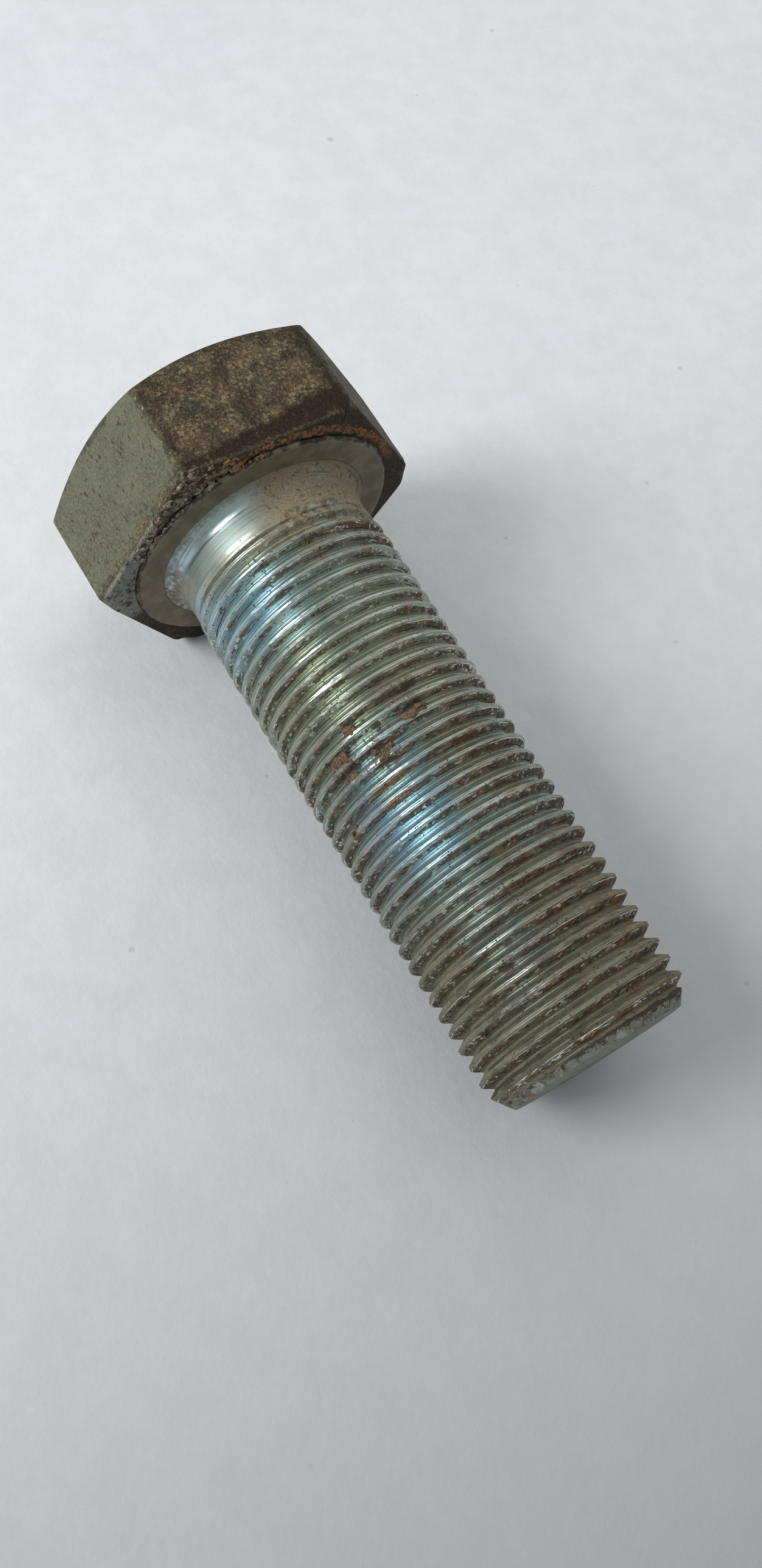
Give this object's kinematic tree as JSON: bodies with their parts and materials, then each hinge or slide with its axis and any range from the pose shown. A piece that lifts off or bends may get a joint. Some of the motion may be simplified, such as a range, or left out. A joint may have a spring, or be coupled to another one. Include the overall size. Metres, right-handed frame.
{
  "type": "hex bolt",
  "caption": "Fully threaded hex head bolt with a washer face, a filleted neck, a helical right-hand fine thread and a chamfered point.",
  "frame": {"origin": "centre of the bearing face under the head, on the bolt's axis", "axes": "+X along the axis from the head towards the point, +Z out of the head flat that faces up, +Y across the corners of the head"},
  "size_m": [0.085, 0.0416, 0.036],
  "materials": {
    "head_steel": "aged grey-green zinc plating on steel, mottled with brown rust and dried dirt",
    "bearing_steel": "dull dark grey steel, worn by contact",
    "neck_steel": "bright zinc with tan dirt in the fillet",
    "thread_steel": "satin grey-green zinc, dirt and light rust in the grooves",
    "dried_mud": "matt dried mud and crust stuck to the metal"
  },
  "bodies": {
    "root": {"hex_head": "head_steel", "washer_face": "bearing_steel", "neck": "neck_steel", "threaded_shank": "thread_steel", "chamfered_point": "thread_steel"}
  },
  "joints": []
}
